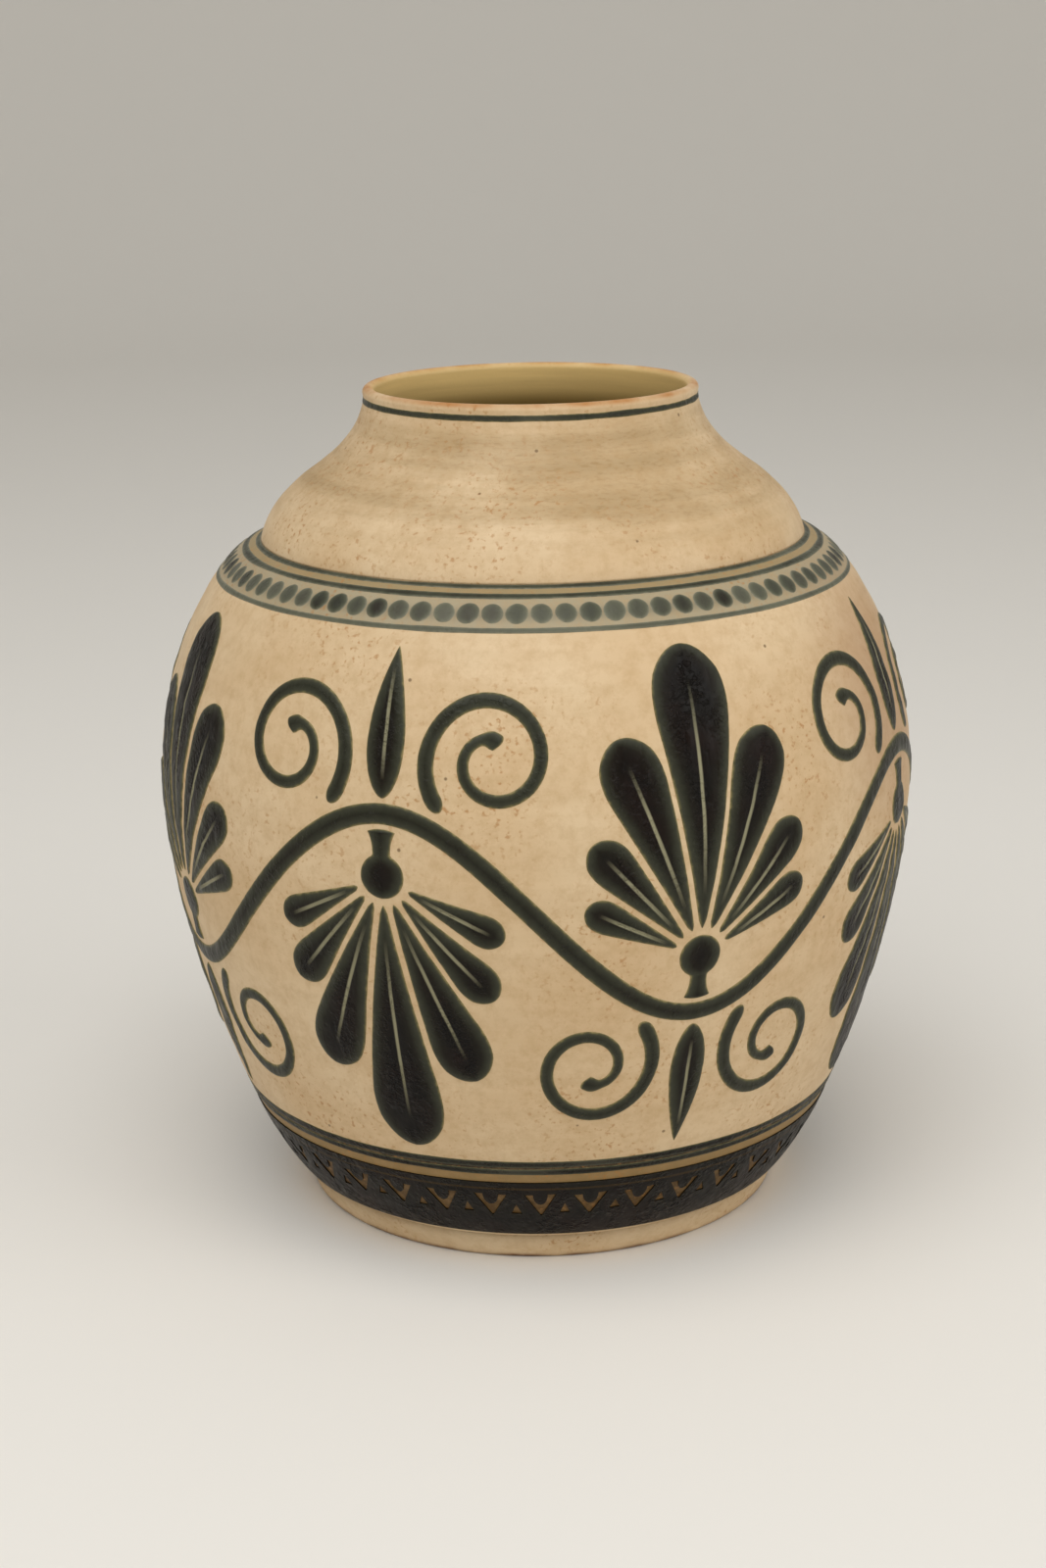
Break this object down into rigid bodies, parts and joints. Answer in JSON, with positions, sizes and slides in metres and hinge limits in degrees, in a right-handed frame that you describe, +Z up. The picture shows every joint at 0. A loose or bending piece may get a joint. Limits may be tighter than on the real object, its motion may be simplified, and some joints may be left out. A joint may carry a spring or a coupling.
{
  "type": "vase",
  "caption": "Globular stoneware flower vase on a low foot ring, with an ogee collar, rolled lip and raised dark slip decoration of beads, scroll and palmettes.",
  "frame": {"origin": "on the vase's axis, on the table surface under the foot ring", "axes": "+Z up along the axis through the mouth, -Y towards the front of the picture, +X to its right"},
  "size_m": [0.259, 0.259, 0.28],
  "materials": {
    "clay": "satin buff stoneware with fine iron freckles",
    "dark_slip": "satin green-black slip in low relief",
    "grey_slip": "satin grey-green slip in low relief"
  },
  "bodies": {
    "root": {"foot_ring": "clay", "belly": "clay", "collar": "clay", "shoulder_line_upper": "grey_slip", "shoulder_line_lower": "grey_slip", "bead_row": "grey_slip", "bead_line": "grey_slip", "rim_line": "dark_slip", "ground_line_upper": "dark_slip", "ground_line_lower": "dark_slip", "foot_band": "dark_slip", "scroll_stem": "dark_slip", "palmette_1": "dark_slip", "volute_1_left": "dark_slip", "volute_1_right": "dark_slip", "bud_1": "dark_slip", "palmette_2": "dark_slip", "volute_2_left": "dark_slip", "volute_2_right": "dark_slip", "bud_2": "dark_slip", "palmette_3": "dark_slip", "volute_3_left": "dark_slip", "volute_3_right": "dark_slip", "bud_3": "dark_slip", "palmette_4": "dark_slip", "volute_4_left": "dark_slip", "volute_4_right": "dark_slip", "bud_4": "dark_slip", "palmette_5": "dark_slip", "volute_5_left": "dark_slip", "volute_5_right": "dark_slip", "bud_5": "dark_slip", "palmette_6": "dark_slip", "volute_6_left": "dark_slip", "volute_6_right": "dark_slip", "bud_6": "dark_slip", "palmette_7": "dark_slip", "volute_7_left": "dark_slip", "volute_7_right": "dark_slip", "bud_7": "dark_slip", "palmette_8": "dark_slip", "volute_8_left": "dark_slip", "volute_8_right": "dark_slip", "bud_8": "dark_slip"}
  },
  "joints": []
}
